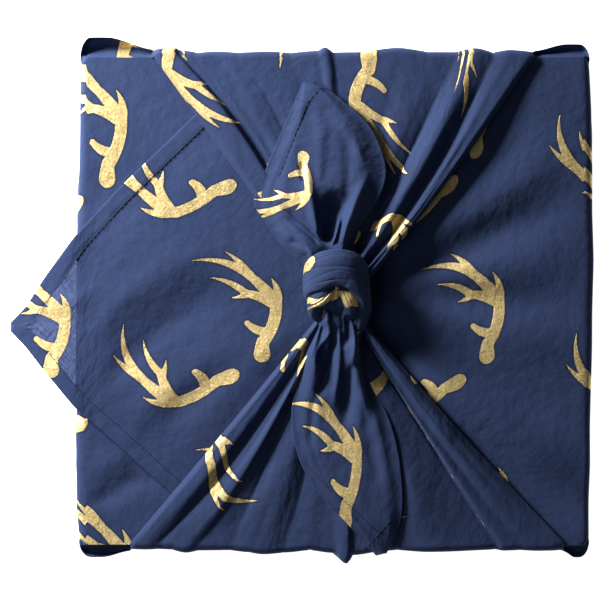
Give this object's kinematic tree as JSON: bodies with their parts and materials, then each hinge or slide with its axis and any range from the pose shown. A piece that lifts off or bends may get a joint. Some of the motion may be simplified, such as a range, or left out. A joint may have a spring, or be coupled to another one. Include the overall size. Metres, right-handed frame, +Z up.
{
  "type": "furoshiki-wrapped gift box",
  "caption": "Square gift box wrapped in a hemmed cotton furoshiki, its side corners folded over the top and its back and front corners tied in a square knot with free ends.",
  "frame": {"origin": "middle of the flat underside, on the surface the wrapped box stands on", "axes": "+Z up through the lid and the knot, +X from the overhanging corner of the cloth at the left to the plain right side, +Y from front to back"},
  "size_m": [0.2795, 0.2521, 0.1012],
  "materials": {
    "navy_cotton": "matt plain weave with a gold glitter print",
    "grey_board": "matt"
  },
  "bodies": {
    "root": {"furoshiki_cloth": "navy_cotton", "gift_box": "grey_board"}
  },
  "joints": []
}
